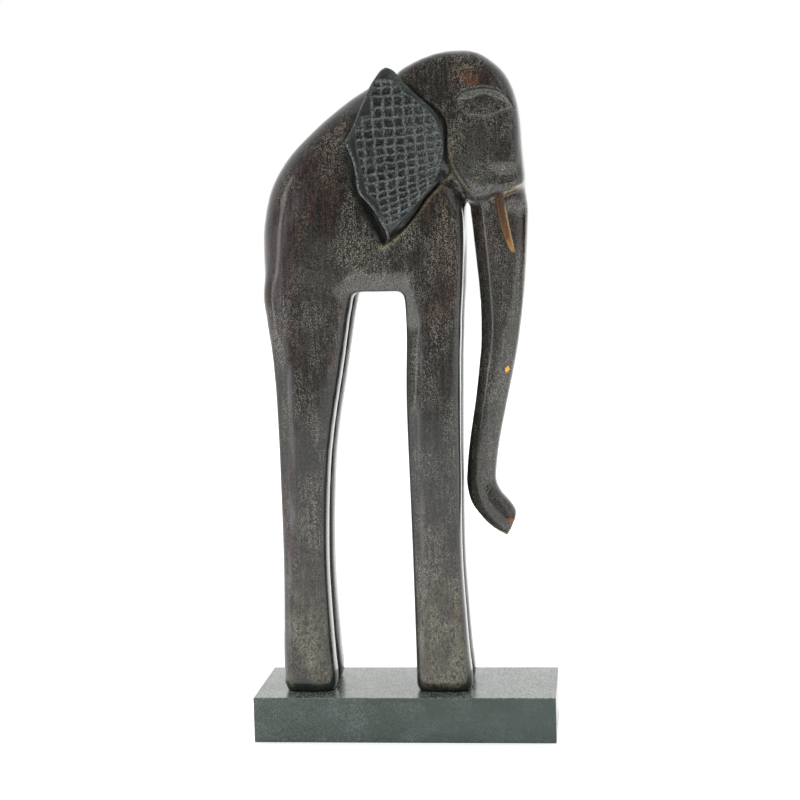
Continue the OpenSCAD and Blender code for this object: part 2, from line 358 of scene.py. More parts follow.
# Halves the faces whose middle is chosen, and evens out the new vertices.
def refine(mesh, chosen, rounds):
    middles = np.empty(len(mesh.polygons) * 3, np.float32)
    mesh.polygons.foreach_get("center", middles)
    middles = middles.reshape(-1, 3).astype(float) / mm
    picked = chosen(*middles.T)
    mesh.polygons.foreach_set("select", picked)
    mesh.edges.foreach_set("select", np.zeros(len(mesh.edges), bool))
    bm = bmesh.new()
    bm.from_mesh(mesh)
    bm.faces.ensure_lookup_table()
    edges = {e for i in np.nonzero(picked)[0] for e in bm.faces[int(i)].edges}
    bmesh.ops.subdivide_edges(bm, edges=sorted(edges, key=lambda e: e.index), cuts=1, use_grid_fill=True)
    bm.to_mesh(mesh)
    bm.free()
    points = readPoints(mesh)
    evenOut(mesh, rounds, chosen(*points.T).astype(float))


# Lines and fields carved into both sides, in X-Z. A mound is a middle x and z, half sizes and a height.
carvedDetail = {
    "pocket": [
        (-5.5, 268.4), (5.7, 276.6), (13.5, 285.3), (19.7, 294), (25.9, 300.5), (31.8, 307.6),
        (30.9, 312.5), (30.3, 320), (30.8, 327.3), (30.2, 333.9), (27.2, 339.4), (22, 343.9),
        (16.4, 347.8), (10.6, 354.2), (4, 361.5), (-3, 367), (-15, 356), (-24.5, 330), (-26, 318),
        (-22.5, 300), (-16, 286), (-9, 274),
    ],
    "pocketY": 18.6,
    "jawLine": [(30.5, 332), (31, 320), (32.4, 310.6), (35.1, 305), (39.1, 298.9), (43.4, 293.2), (45, 290)],
    "jawStep": 2.2,
    "shoulderLine": [(-5.3, 268.8), (5.7, 276.8), (13.5, 285.5), (19.7, 294.3), (25.9, 300.7), (32, 307.4)],
    "lidOutline": [
        (35.3, 345.6), (39.6, 349.1), (44.8, 350.4), (50.8, 350.8), (56.7, 349.6), (61, 346.9),
        (65.3, 340.4), (60.1, 338.8), (55.6, 336.9), (48.9, 335.9), (41.9, 337), (37.9, 339.8),
    ],
    "eyeball": [
        (43.4, 343.8), (46.2, 346.3), (50, 347.2), (54, 346.2), (57.3, 342.9), (53.9, 340.3),
        (49.8, 339.3), (46.1, 340.8),
    ],
    "lidLower": [(35.3, 345.2), (43.5, 345.8), (50, 348.1), (57.5, 345.4), (61.5, 343.4), (65.3, 340.4)],
    "socket": (52, 331, 12, 4.2, -0.9),
    "lipLine": [(52.5, 291.9), (56.7, 293.8), (62, 296.1), (69, 299.2)],
    "cheekRoll": (60.5, 312.4, 6.5, 3.2, 1.0),
    "cheekHollow": (61.5, 304.5, 6.5, 4.4, -1.5),
    "cheekFlat": (44, 318, 9, 12, 0.5),
    # mounds of colour in place of height: painted shade on the foreleg, paler grey on the jaw and haunch, a
    # red wash on the brow
    "forelegShade": (17, 158, 14, 48, 0.45),
    "jawGrey": (46, 312, 15, 18, 0.55),
    "haunchGrey": (-44, 250, 17, 24, 0.42),
    "browRed": (44, 357, 9, 6, 1),
    "scratches": [[(36.5, 360.1), (46.3, 353.1)], [(38.3, 357.1), (45.9, 351.3)], [(41, 360), (47.6, 354.6)]],
    "paleStreak": [(37.6, 361.6), (44.6, 362.2)],
    "archLine": [(-27, 232), (-24.6, 238), (-20.5, 244.4), (0.5, 244.4), (4.4, 239), (5, 226)],
    "archHigh": 13.0,
    "archDrop": 5.0,
    "facetsOutside": 13.5,
    "feetAt": 25.02,
    # arrises where the flat side turns to a pared facet, from the top down
    "rumpArris": [
        (-29.6, 321.6), (-37.1, 312.2), (-46.5, 300.1), (-55.8, 287.9), (-60.6, 277.3), (-62.2, 264.8),
        (-63, 252.3), (-62.4, 238.8), (-60.8, 222), (-57.6, 199), (-57.3, 175), (-58.1, 159),
        (-59.6, 127), (-62, 95), (-64, 60), (-65.4, 25),
    ],
    "rumpSlope": 0.52,
    "foreArris": [
        (9, 252), (12.6, 237.3), (14.4, 223.9), (13.2, 197.9), (11.7, 182), (12, 166.1), (12.8, 146.1),
        (11.6, 130.1), (11.5, 100), (11, 70), (9, 45), (7.5, 25),
    ],
    "foreSlope": 0.5,
    "trunkRound": 5,
    "trunkSlopes": (0.34, 0.18),
    "trunkArris": [
        (48.6, 296), (49.2, 288.5), (51.2, 270.5), (52.5, 249.6), (54.4, 225.5), (50.6, 200), (46.4, 175),
        (43.4, 152), (42.6, 138), (45.5, 128), (51, 121), (60, 112),
    ],
    # half width of the block at each height, near the rump and legs
    "blockSide": [
        (25, 22.2), (95, 21.9), (140, 22.1), (170, 22.5), (205, 22.8), (245, 23.2), (275, 23.5),
        (287, 22.9), (300, 21.5), (311, 19.8), (322, 17.5), (334, 15),
    ],
}


# A smooth hill at a middle x and z: its height times exp(-(dx/halfX)^2 - (dz/halfZ)^2).
def mound(x, z, spec):
    cx, cz, halfX, halfZ, height = spec
    return height * np.exp(-((x - cx) / halfX) ** 2 - ((z - cz) / halfZ) ** 2)


# A bell of a distance: exp(-((gap - middle) / width)^2).
def bell(gap, width, middle=0.0):
    return np.exp(-((gap - middle) / width) ** 2)


# What a pared facet takes off: slope times the distance past its arris, eased in over `soft`.
def pared(x, z, line, slope, soft):
    gap, way = lineDistance(x, z, line)
    past = np.where(way > 0, gap, 0)
    return slope * past * past / (past + soft)


# Each side vertex moves in or out by the sum of the carved fields; attributes note where finishes and painted
# light and shade change.
def carve(mesh, p):
    points = readPoints(mesh)
    normals = readNormals(mesh)
    x, y, z = points.T
    side = np.where(y < 0, -1.0, 1.0)
    out = np.abs(y)
    facing = ramp(np.abs(normals[:, 1]), 0.35, 0.75)

    # eye: a raised lid with a shadow line round it, and a domed ball cut in under it
    lid = signedGap(x, z, closedCurve(p["lidOutline"], (0, 6), 5))
    ball = signedGap(x, z, closedCurve(p["eyeball"], (0, 4), 5))
    lidLower = z - np.interp(x, *np.array(p["lidLower"]).T)
    onLid = ramp(-lid, 0, 0.5) * ramp(lidLower, -0.3, 0.4)
    rise = 0.5 * ramp(-lid, 0, 1.0) + 0.55 * onLid - 0.6 * bell(lid, 0.7, 0.4)
    rise += 0.4 * ramp(-ball, 0.2, 4) - 0.9 * bell(ball, 0.45) - 0.3 * ramp(-ball, 0, 0.6)
    rise += mound(x, z, p["socket"]) + mound(x, z, p["cheekFlat"])

    # jaw: the neck steps down behind the line, and the cheek rises to it in front
    jaw, jawSide = lineDistance(x, z, p["jawLine"])
    along = ramp(z, 286, 291) * (1 - ramp(z, 322, 331))
    behind = (jawSide > 0) & (x < 50)
    low = along * (1 - ramp(z, 308, 316))
    rise -= low * p["jawStep"] * np.where(behind, ramp(jaw, 0, 1.0) * (1 - ramp(jaw, 4, 13)), 0)
    rise += along * 0.5 * bell(jaw, 0.9, 0.9) * ~behind

    rise += mound(x, z, p["cheekRoll"]) + mound(x, z, p["cheekHollow"])
    # lip: proud above its line and cut back below
    lip, lipSide = lineDistance(x, z, p["lipLine"])
    aboveLip = lipSide < 0
    onLip = ramp(x, 50, 53)
    rise += onLip * (0.9 * bell(lip, 0.8, 0.7) * aboveLip - 0.8 * bell(lip, 1.4, 1.2) * ~aboveLip)

    # trunk: falls away on both sides of a rounded ridge
    arris, arrisSide = lineDistance(x, z, p["trunkArris"])
    eased = np.sqrt(arris * arris + p["trunkRound"] ** 2) - p["trunkRound"]
    onTrunk = (x > 38.5) & (z < 292) & (out > 2)
    rise -= onTrunk * ramp(-z, -292, -284) * eased * np.where(arrisSide > 0, *p["trunkSlopes"])
    out = out + facing * rise

    # ear pocket: sunk to its floor, deeper along its front edge, with a raised lip at the shoulder
    gap = signedGap(x, z, closedCurve(p["pocket"], (0, 5, 15), 4))
    soft = 0.8 + 6.5 * ramp(-x, 2, 14)
    depth = ramp(-gap, 0, soft)
    floorY = p["pocketY"] - 1.0 * bell(gap, 1.3, -1.8) * ramp(x, 0, 8)
    inPocket = (z > 262) & (x > -40)
    out = np.where(inPocket, out + depth * (np.minimum(out, floorY) - out), out)
    shoulder, _ = lineDistance(x, z, p["shoulderLine"])
    nearShoulder = bell(shoulder, 0.9, 0.7) * (gap > -0.3)
    out += facing * 0.6 * nearShoulder

    # facets limit how far the side stands out
    blockSide = np.interp(z, *np.array(p["blockSide"]).T)
    rear = pared(x, z, p["rumpArris"], p["rumpSlope"], 1.2) * (x < -18)
    rear *= 1 - ramp(z, 212, 238)
    fore = pared(x, z, p["foreArris"], p["foreSlope"] + 0.22 * ramp(z, 222, 223.5), 0.8)
    fore *= (x > 2) & (x < 20) & (z < 252)
    arch, _ = lineDistance(x, z, p["archLine"])
    reach = p["archHigh"] * ramp(x, -34, -20) * (1 - ramp(x, 2, 14)) + 1.5
    above = p["archDrop"] * np.clip(1 - arch / reach, 0, 1) ** 1.3 * (z > 238) * ramp(x, -30, -22)
    drop = np.maximum.reduce([rear, fore, above])
    pares = (drop > 0) & (out > p["facetsOutside"])
    out = np.where(pares, np.minimum(out, blockSide - drop), out)

    points[:, 1] = side * out
    points[:, 2] = np.maximum(points[:, 2], p["feetAt"])
    writePoints(mesh, points)

    # finishes, painted shade and painted highlights: how much of each, from 0 to 1
    strokes = np.max([bell(lineDistance(x, z, line)[0], 0.38) for line in p["scratches"]], 0)
    pale = bell(lineDistance(x, z, p["paleStreak"])[0], 0.6)
    finishesAndPaintedLight = {
        "lidBand": facing * onLid,
        "cutLine": facing * np.maximum.reduce([
            bell(ball, 0.35), 0.55 * bell(lid, 0.35) * (z < 341)]),
        "scratch": 0.8 * facing * strokes * (z > 345),
        # pale ochre wear on the jaw line, the lip ledge and a streak; on the shoulder ridge, wear at its low
        # end and a fainter painted highlight along the rest
        "wearAndHighlight": np.maximum.reduce([
            facing * 0.45 * bell(jaw, 0.36, 0.2) * along,
            bell(lip, 0.75, 0.1) * ramp(x, 51, 53) * ramp(out, 12, 15),
            facing * nearShoulder * (0.3 + 0.5 * ramp(-z, -280, -270)),
            facing * pale * 0.45]),
        # painted shade in the ear pocket and on the middle of the foreleg, and a darker eyeball
        "paintedShadeAndDarkEye": facing * np.maximum.reduce([
            ramp(-gap, -0.8, 1.2) * inPocket,
            0.5 * ramp(-ball, 0.2, 0.7),
            mound(x, z, p["forelegShade"])]),
        # painted light reflected from the floor on the facets under the belly arch and on the foreleg below
        # it; paler grey on the jaw, the haunch and the lower trunk
        "greyAndPaintedLight": facing * np.maximum.reduce([
            ramp(above, 0.1, 3.6),
            ramp(fore, 0.2, 1.2) * ramp(z, 221, 223),
            mound(x, z, p["jawGrey"]) * ~behind,
            mound(x, z, p["haunchGrey"]),
            0.32 * onTrunk * ramp(-z, -290, -262)]),
        "reddened": facing * mound(x, z, p["browRed"]),
        # painted highlight: a lavender stripe along the rump's arris and a pale line down the foreleg's rear
        # arris
        "paintedSheen": facing * np.maximum.reduce([
            (1 - 0.5 * ramp(z, 215, 240)) * ramp(-z, -318, -280) * (x < -18)
            * bell(lineDistance(x, z, p["rumpArris"])[0], 0.7 + 3.0 * ramp(z, 205, 245)),
            0.7 * bell(lineDistance(x, z, p["foreArris"])[0], 0.8) * (x < 20) * ramp(-z, -245, -230)]),
        # painted shade: darker green-black where the surface turns away from the flat side, except on the
        # trunk
        "paintedEdgeShade": (1 - ramp(np.abs(normals[:, 1]), 0.6, 0.995)) * ~onTrunk
        * (1 - 0.4 * ramp(z, 290, 300) * (x > 30)),
    }
    for name, values in finishesAndPaintedLight.items():
        setAttribute(mesh, name, values)


blank = makeBlank(bodyCarving)
print("body blank:", len(blank.data.polygons), "faces")
# Where the carving needs finer faces, and how many rounds of smoothing follow: head, face and eye.
finerAt = [
    (lambda x, y, z: (z > 260) & (x > -16) & ((z < 366) | (np.abs(y) > 8)), 3),
    (lambda x, y, z: (z > 286) & (x > 27) & (z < 350 + 13 * (x > 33) * (x < 60)) & (np.abs(y) > 11), 2),
    (lambda x, y, z: (z > 332) & (x > 32) & (z < 351) & (x < 68.5) & (np.abs(y) > 14), 2),
]
for chosen, rounds in finerAt:
    refine(blank.data, chosen, rounds)
carve(blank.data, carvedDetail)
print("body carved:", len(blank.data.polygons), "faces")
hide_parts("carved_body")
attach(blank, "root")


earLeaf = {
    "outline": [
        (-0.2, 363.1), (3.2, 361), (8.2, 355.3), (14, 349.2), (21.3, 342.4), (25.7, 337), (28.2, 330.2),
        (28.8, 323.5), (28.2, 316.2), (26.5, 308.6), (22.5, 301.2), (16.3, 293.3), (12.2, 289), (5, 281),
        (-0.6, 275.8), (-2.6, 269.6), (-3.2, 276.3), (-5.3, 280.8), (-8.8, 287.4), (-13.2, 292.9),
        (-17.4, 298.3), (-18.4, 306.4), (-19.7, 313.9), (-21.6, 319), (-23.8, 324.8), (-20.2, 330.4),
        (-15.4, 341), (-10, 352.4), (-6.2, 358.2), (-3.3, 361.6),
    ],
    "tips": (0, 15, 24),
    "field": [
        (-8.2, 354), (-5.1, 357), (1.6, 356.8), (5.9, 353), (8.1, 350.2), (12.5, 347.2), (16.8, 343.3),
        (21.2, 339.4), (24.6, 335), (27.4, 327.1), (28.4, 319.8), (27.4, 312.5), (25.2, 306.6),
        (21.9, 300.6), (17.3, 295), (12.5, 290.4), (6.3, 284), (-2.8, 279.6), (-4.6, 285.3),
        (-7.4, 293.5), (-12.7, 297.4), (-14.3, 306.3), (-15.9, 313.8), (-17.6, 321.2), (-17.8, 331.6),
        (-14.7, 332.4), (-14.5, 337.5), (-9.4, 338), (-8.9, 350.3),
    ],
    # heights of the ridges between rows of pits, read at rowsAt; lower rows climb and curve forward
    "rowRidges": [
        359.4, 355.2, 352.2, 347.5, 341.5, 336, 330.4, 325.5, 320.7, 316, 311.6, 306.6, 302, 296.2, 292.5,
        288.3, 284.6, 281, 277.8, 274.6, 271,
    ],
    "rowsAt": -16.0,
    "climb": (0.05, 0.06),
    "curl": 0.0075,
    "columnAt": -2.9,
    "columnPitch": 5.42,
    "columnLean": 0.035,
    "rearY": 26.4,
    "frontY": 23.0,
    "thickness": 3.4,
    "pitDepth": 1.7,
    "spacing": 0.36,
    "curveSteps": 12,
    "acrossCount": 170,
    "seed": 5,
}


# A leaf: level rows from the rear edge to the front edge and back behind, pits sunk into its outer face.
# Outer y is a lean from rear to front, plus rim, groove and margin, minus pit depth times column wall
# times row wall.
def earSurface(p, side):
    curve = closedCurve(p["outline"], p["tips"], p["curveSteps"])
    split = p["tips"][1] * p["curveSteps"]
    front, rear = curve[:split + 1][::-1], np.concatenate([curve[split:], curve[:1]])
    z = np.arange(front[0, 1] + 0.05, front[-1, 1] - 0.02, p["spacing"])
    right = np.interp(z, front[:, 1], front[:, 0])
    left = np.interp(z, rear[:, 1], rear[:, 0])
    edge = np.array([0.001, 0.003, 0.0065, 0.011])
    outerS = np.unique(np.concatenate([np.linspace(0, 1, p["acrossCount"]), edge, 1 - edge]))
    innerS = np.linspace(1, 0, 34)[1:-1]
    s = np.concatenate([outerS, innerS])[None, :]
    isOuter = (np.arange(s.shape[1]) < len(outerS))[None, :]
    x = left[:, None] + s * (right - left)[:, None]
    zz = np.repeat(z[:, None], s.shape[1], 1)
    toFront, _ = lineDistance(x, zz, front[::3])
    toRear, _ = lineDistance(x, zz, rear[::3])
    edgeGap = np.minimum(toFront, toRear)
    field = signedGap(x, zz, p["field"])

    # the outer face, its rim and the groove inside the rim
    lean = p["rearY"] + (p["frontY"] - p["rearY"]) * s + 0.5 * np.sin((zz - 270) / 93 * np.pi)
    lean -= 2.6 * ramp(-zz, -284, -271)
    frontSide = ramp(toRear - toFront, -2, 4)
    relief = -2.2 * ramp(field, 0.4, 6) * frontSide * ramp(zz, 290, 300)
    rim = bell(toRear, 0.75, 0.8)
    relief += 0.55 * rim - 1.1 * bell(field, 1.1, 1.5) * (1 - frontSide) * ramp(-zz, -332, -326)
    relief -= 0.9 * ramp(field, 0.3, 1.6) * ramp(toRear, 1.2, 2.2) * ramp(zz, 332, 338) * (1 - frontSide)

    # the height at rowsAt of the row that each point lies in, found in four steps
    level = zz
    for _ in range(4):
        low = np.clip((330 - level) / 45, 0, 1)
        reach = x - p["rowsAt"]
        level = zz - (p["climb"][0] + p["climb"][1] * low) * reach - p["curl"] * low**2 * reach**2
    level = level + 0.25 * np.sin(0.8 * x + 0.3 * zz) + 0.15 * np.sin(2.1 * x)
    ridges = np.array(p["rowRidges"])[::-1]
    row = np.clip(np.searchsorted(ridges, level), 1, len(ridges) - 1)
    rowGap = np.minimum(level - ridges[row - 1], ridges[row] - level)
    # columns of pits, with walls that wander and one longer pit
    wobble = 0.3 * np.sin(0.9 * zz + 1.3) + 0.2 * np.sin(0.37 * zz + x) + 0.15 * np.sin(2.3 * zz)
    column = (x - p["columnAt"] - p["columnLean"] * (335 - zz) + wobble) / p["columnPitch"]
    cell = np.clip(np.floor(column).astype(int) + 6, 0, 15)
    columnGap = np.abs(column - np.round(column)) * p["columnPitch"]
    uneven = np.random.default_rng(p["seed"]).uniform(0.7, 1.15, (len(ridges), 16))[row, cell]
    longPit = 0.7 * np.exp(-((x + 11) / 3.2) ** 4 - ((zz - 318) / 8) ** 4)
    rowWall = ramp(rowGap, 0.35, 1.1)
    pit = ramp(columnGap, 0.5, 1.25) * (rowWall + longPit * (1 - rowWall)) * ramp(-field, 0, 0.9)
    shallow = 1 - 0.55 * ramp(x, 0, 26) - 0.3 * ramp(-zz, -300, -284) - 0.4 * ramp(zz, 350, 356)
    relief -= p["pitDepth"] * shallow * uneven * pit

    roundEdge = np.sqrt(np.clip(1 - (1 - np.clip(edgeGap, 0, 0.8) / 0.8) ** 2, 0, 1))
    half = p["thickness"] / 2 * (0.62 + 0.38 * ramp(s, 0, 0.6)) * (1 - 0.45 * ramp(-zz, -284, -271))
    middle = lean - half
    y = np.where(isOuter, middle + roundEdge * (half + relief), middle - roundEdge * half)
    finishesAndPaintedLight = {
        "pit": pit * shallow**0.5,
        "field": ramp(-field, -0.6, 0.6),
        # painted highlight along the raised rear rim low down, and a thin one along the rear edge
        "wearAndHighlight": rim * ramp(-zz, -330, -322) + 0.8 * bell(toRear, 0.5, 0.4),
    }
    return np.stack([x, side * y, zz], -1), {name: np.where(isOuter, v, 0) for name, v in finishesAndPaintedLight.items()}


# One ear, with its finishes and painted light and shade as attributes; its two pole vertices carry none.
def makeEar(name, node, p, side):
    rings, finishesAndPaintedLight = earSurface(p, side)
    ear = tubeObject(name, rings)
    for label, values in finishesAndPaintedLight.items():
        setAttribute(ear.data, label, np.concatenate([values.ravel(), [0, 0]]))
    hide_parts(node)
    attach(ear, "root")
    return ear


earRight = makeEar("ear_right_leaf", "ear_right", earLeaf, -1)
earLeft = makeEar("ear_left_leaf", "ear_left", earLeaf, 1)
print("ears:", len(earRight.data.polygons), "faces each")


tuskShape = {
    # x, distance from the middle plane, z, half width along x, half width across
    "line": [
        (55.9, 14.8, 299, 2.2, 2.0), (56.8, 15.1, 293.6, 2.5, 2.3), (58.2, 15.4, 284.6, 2.6, 2.4),
        (60.2, 15.3, 275, 2.3, 2.1), (62.2, 15, 268.2, 1.7, 1.6), (63.3, 14.7, 265.2, 1.2, 1.2),
        (63.9, 14.5, 263.8, 0.8, 0.8),
    ],
}


# Level ovals carried down a curved line; each is a little three-sided, as if pared with a knife.
def makeTusk(name, node, p, side):
    rows = throughRows(p["line"], 10)
    t = 2 * np.pi * np.arange(32) / 32
    edge = 1 + 0.1 * np.cos(3 * t)
    x = rows[:, 0][:, None] + rows[:, 3][:, None] * np.cos(t) * edge
    y = rows[:, 1][:, None] + rows[:, 4][:, None] * np.sin(t) * edge
    z = rows[:, 2][:, None] + 0 * t
    tusk = tubeObject(name, np.stack([x, side * y, z], -1))
    arris = bell(t, 0.2, 0.4) * ramp(-rows[:, 2], -291, -286)[:, None]
    setAttribute(tusk.data, "arris", np.concatenate([arris.ravel(), [0, 0]]))
    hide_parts(node)
    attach(tusk, "root")
    return tusk


tuskRight = makeTusk("tusk_right_pared", "tusk_right", tuskShape, -1)
tuskLeft = makeTusk("tusk_left_pared", "tusk_left", tuskShape, 1)
print("tusks made")


plinthEdge = {"bevel": 0.45, "segments": 3, "mergeWithin": 0.01, "flatWithin": 1, "edgesOver": 50}


# A copy of the drilled block, merged, its flat faces dissolved and its edges eased.
def makePlinth(p):
    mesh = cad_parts["plinth"].data.copy()
    bm = bmesh.new()
    bm.from_mesh(mesh)
    bmesh.ops.remove_doubles(bm, verts=bm.verts, dist=p["mergeWithin"] * mm)
    bmesh.ops.dissolve_limit(bm, angle_limit=math.radians(p["flatWithin"]), verts=bm.verts, edges=bm.edges)
    bm.to_mesh(mesh)
    bm.free()
    block = placed("plinth_block", mesh)
    ease = block.modifiers.new("ease", "BEVEL")
    ease.width = p["bevel"] * mm
    ease.segments = p["segments"]
    ease.limit_method = "ANGLE"
    ease.angle_limit = math.radians(p["edgesOver"])
    applyModifiers(block)
    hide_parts("plinth")
    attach(block, "root")
    return block


plinthBlock = makePlinth(plinthEdge)
print("plinth made")


# A material's node tree, with short calls for adding and joining nodes.
class Shader:
    def __init__(self, name):
        self.material = bpy.data.materials.new(name)
        self.material.use_nodes = True
        self.tree = self.material.node_tree
        self.tree.nodes.clear()
        self.surface = self.add("ShaderNodeBsdfPrincipled")
        output = self.add("ShaderNodeOutputMaterial")
        self.tree.links.new(self.surface.outputs[0], output.inputs[0])
        self.place = self.add("ShaderNodeTexCoord").outputs["Object"]

    def add(self, kind, **settings):
        node = self.tree.nodes.new(kind)
        for key, value in settings.items():
            setattr(node, key, value)
        return node

    # Sets a node's input to a value, or links it where the value is another node's output.
    def feed(self, node, name, value):
        if isinstance(value, bpy.types.NodeSocket):
            self.tree.links.new(value, node.inputs[name])
        else:
            node.inputs[name].default_value = value

    # Noise on object coordinates; stretch multiplies the scale along each axis.
    def noise(self, scale, stretch=(1, 1, 1), detail=4, roughness=0.6, distortion=0):
        mapping = self.add("ShaderNodeMapping")
        self.feed(mapping, "Vector", self.place)
        self.feed(mapping, "Scale", stretch)
        node = self.add("ShaderNodeTexNoise")
        self.feed(node, "Vector", mapping.outputs[0])
        self.feed(node, "Scale", scale)
        self.feed(node, "Detail", detail)
        self.feed(node, "Roughness", roughness)
        self.feed(node, "Distortion", distortion)
        return node.outputs["Fac"]

    # 0 where value is below low, rising to `to` at high.
    def band(self, value, low, high, to=1.0):
        node = self.add("ShaderNodeMapRange", interpolation_type="SMOOTHSTEP")
        self.feed(node, "Value", value)
        self.feed(node, "From Min", low)
        self.feed(node, "From Max", high)
        self.feed(node, "To Max", to)
        return node.outputs[0]

    def mix(self, share, first, second, blend="MIX"):
        node = self.add("ShaderNodeMix", data_type="RGBA", blend_type=blend)
        self.feed(node, "Factor", share)
        for slot, colour in ((6, first), (7, second)):
            self.feed(node, slot, (*colour, 1) if isinstance(colour, tuple) else colour)
        return node.outputs[2]

    def math(self, operation, first, second):
        node = self.add("ShaderNodeMath", operation=operation)
        self.feed(node, 0, first)
        self.feed(node, 1, second)
        return node.outputs[0]

    def times(self, first, second):
        return self.math("MULTIPLY", first, second)

    def attribute(self, name):
        return self.add("ShaderNodeAttribute", attribute_name=name).outputs["Fac"]

    def along(self, axis):
        split = self.add("ShaderNodeSeparateXYZ")
        self.feed(split, "Vector", self.place)
        return split.outputs[axis]

    def bump(self, height, distance, strength=1.0, under=None):
        node = self.add("ShaderNodeBump")
        self.feed(node, "Height", height)
        self.feed(node, "Distance", distance)
        self.feed(node, "Strength", strength)
        if under is not None:
            self.feed(node, "Normal", under)
        return node.outputs[0]

    def finish(self, *pieces):
        for piece in pieces:
            piece.data.materials.clear()
            piece.data.materials.append(self.material)
            if piece.data.polygons:
                smooth = np.ones(len(piece.data.polygons), bool)
                piece.data.polygons.foreach_set("use_smooth", smooth)
        return self.material


stainedWood = {
    "black": (0.011, 0.0107, 0.0095),
    "brown": (0.034, 0.025, 0.021),
    "red": (0.06, 0.019, 0.017),
    "olive": (0.125, 0.116, 0.066),
    "dust": (0.31, 0.305, 0.25),
    "ochre": (0.46, 0.37, 0.18),
    "orange": (0.22, 0.065, 0.014),
    "umber": (0.13, 0.07, 0.032),
    # colour of the painted highlight along the arrises
    "lavender": (0.2, 0.18, 0.2),
    # colour of the painted shade, also used for the darker eyeball
    "green": (0.014, 0.021, 0.02),
    # paler grey, also used for the painted floor light under the belly
    "grey": (0.17, 0.172, 0.15),
    "lid": (0.19, 0.205, 0.18),
    "yellow": (0.95, 0.47, 0.01),
    "flecks": [((0.0594, -0.0079, 0.2005), 0.0014, "yellow"), ((0.0591, -0.0066, 0.118), 0.0014, "orange")],
}


# Streaks along the grain over clouds; fine dust speckles over both; paler and more olive low down; then
# painted shade on turned edges, a painted highlight along arrises, the marked finishes with painted light and
# shade among them, and painted shade at the feet. Heights and sizes in a material are in metres.
def woodMaterial(p, *pieces):
    m = Shader("stained_wood_waxed")
    streaks = m.noise(650, (1, 1, 0.055), 5, 0.7)
    zones = m.noise(26, (1, 1, 0.35), 2, 0.5)
    clouds = m.noise(60, (1, 1, 0.6), 3, 0.6)
    specks = m.noise(2000, (1, 1, 0.85), 0.5, 0.8)
    fine = m.noise(800, (1, 1, 0.5), 2, 0.7)
    height = m.along("Z")
    paintedEdgeShade = m.attribute("paintedEdgeShade")
    base = m.mix(m.band(streaks, 0.4, 0.64), p["black"], p["brown"])
    red = m.times(m.band(zones, 0.48, 0.62), m.band(streaks, 0.42, 0.6))
    base = m.mix(m.math("MAXIMUM", m.times(red, 0.75), m.times(m.attribute("reddened"), 0.6)), base, p["red"])
    low = m.times(m.band(height, 0.125, 0.03, 0.9), m.band(clouds, 0.27, 0.6))
    base = m.mix(low, base, p["olive"])
    dusty = m.math("ADD", m.band(clouds, 0.38, 0.66, 0.65), m.band(height, 0.13, 0.04, 0.25))
    dusty = m.times(m.math("ADD", dusty, 0.12), m.math("ADD", m.band(streaks, 0.36, 0.58, 0.55), 0.55))
    dusty = m.times(dusty, m.math("SUBTRACT", 1.0, m.times(paintedEdgeShade, 0.5)))
    base = m.mix(m.times(m.band(specks, 0.49, 0.59), dusty), base, p["dust"])
    base = m.mix(m.band(fine, 0.49, 0.37, 0.85), base, p["black"])
    # painted shade: green-black on the edges that turn away from the flat side
    base = m.mix(m.times(paintedEdgeShade, 0.6), base, p["green"])
    # painted highlight: lavender along the rump and foreleg arrises
    base = m.mix(m.times(m.attribute("paintedSheen"), m.band(streaks, 0.15, 0.65, 0.65)), base, p["lavender"])
    speckled = m.band(specks, 0.34, 0.58, 0.92)
    # painted shade in the ear pocket and on the foreleg with a darker eyeball, painted floor light under the
    # belly with paler grey elsewhere, the lid band, and wear with a painted highlight on the shoulder
    marks = [
        ("paintedShadeAndDarkEye", "green", 0.85), ("greyAndPaintedLight", "grey", 0.78), ("lidBand", "lid", 1.0),
        ("wearAndHighlight", "ochre", 1.0),
    ]
    for name, finish, share in marks:
        base = m.mix(m.times(m.times(m.attribute(name), speckled), share), base, p[finish])
    # painted shade: a ragged green-black band at the bottom of the feet, where they meet the plinth
    ragged = m.math("SUBTRACT", m.math("ADD", height, m.times(clouds, 0.012)), m.times(paintedEdgeShade, 0.007))
    base = m.mix(m.band(ragged, 0.0375, 0.0333, 0.85), base, p["green"])
    for name, finish in (("cutLine", "umber"), ("scratch", "orange")):
        base = m.mix(m.times(m.attribute(name), m.band(fine, 0.3, 0.55)), base, p[finish])
    for place, radius, finish in p["flecks"]:
        away = m.add("ShaderNodeVectorMath", operation="DISTANCE")
        m.feed(away, 0, m.place)
        m.feed(away, 1, place)
        jagged = m.math("ADD", away.outputs["Value"], m.times(m.math("SUBTRACT", fine, 0.5), 0.003))
        base = m.mix(m.band(jagged, radius * 1.25, radius), base, p[finish])
    m.feed(m.surface, "Base Color", base)
    rough = m.math("ADD", m.band(clouds, 0.3, 0.7, 0.12), m.band(specks, 0.42, 0.7, 0.2))
    m.feed(m.surface, "Roughness", m.math("ADD", rough, 0.26))
    m.surface.inputs["Specular IOR Level"].default_value = 0.2
    m.surface.inputs["Coat Weight"].default_value = 0.8
    m.surface.inputs["Coat Roughness"].default_value = 0.1
    pores = m.bump(m.math("ADD", specks, streaks), 0.00012, 0.55)
    m.feed(m.surface, "Normal", m.bump(clouds, 0.001, 0.25, pores))
    return m.finish(*pieces)


earWood = {
    # colour of the painted shade in the pits
    "pit": (0.008, 0.012, 0.011),
    "field": (0.046, 0.056, 0.053),
    "plain": (0.014, 0.019, 0.018),
    # dust on the ridges, also the colour of the painted highlight along the rear rim
    "dust": (0.21, 0.23, 0.22),
}


